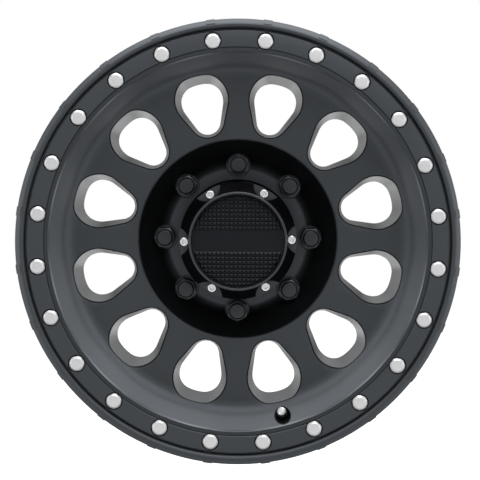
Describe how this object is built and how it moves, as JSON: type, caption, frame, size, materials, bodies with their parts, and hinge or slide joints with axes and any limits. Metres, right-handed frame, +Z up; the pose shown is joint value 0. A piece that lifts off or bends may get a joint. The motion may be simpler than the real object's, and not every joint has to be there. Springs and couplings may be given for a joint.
{
  "type": "alloy car wheel",
  "caption": "Bare light alloy off-road wheel with egg-shaped windows, a bolted outer ring, a tall screwed centre cap, lug nuts and a snap-in valve.",
  "frame": {"origin": "centre of the hub bore at the hub's mounting face", "axes": "+Y along the wheel's axis towards the vehicle, +Z up and +X to the right as seen from the street side"},
  "size_m": [0.4723, 0.2417, 0.4724],
  "materials": {
    "black_paint": "satin",
    "zinc": "satin",
    "nut_black": "satin",
    "cap_plastic": "satin",
    "insert_plastic": "matte",
    "screw_steel": "satin",
    "rubber": "matte",
    "brass": "satin",
    "valve_metal": "satin"
  },
  "bodies": {
    "root": {"wheel_casting": "black_paint", "ring_bolts": "zinc", "lug_nuts": "nut_black", "cap_body": "cap_plastic", "cap_o_ring": "rubber", "cap_lid": "cap_plastic", "cap_insert": "insert_plastic", "cap_screws": "screw_steel", "valve_stem": "rubber", "valve_tube": "brass", "valve_core": "brass", "valve_cap": "valve_metal"}
  },
  "joints": []
}
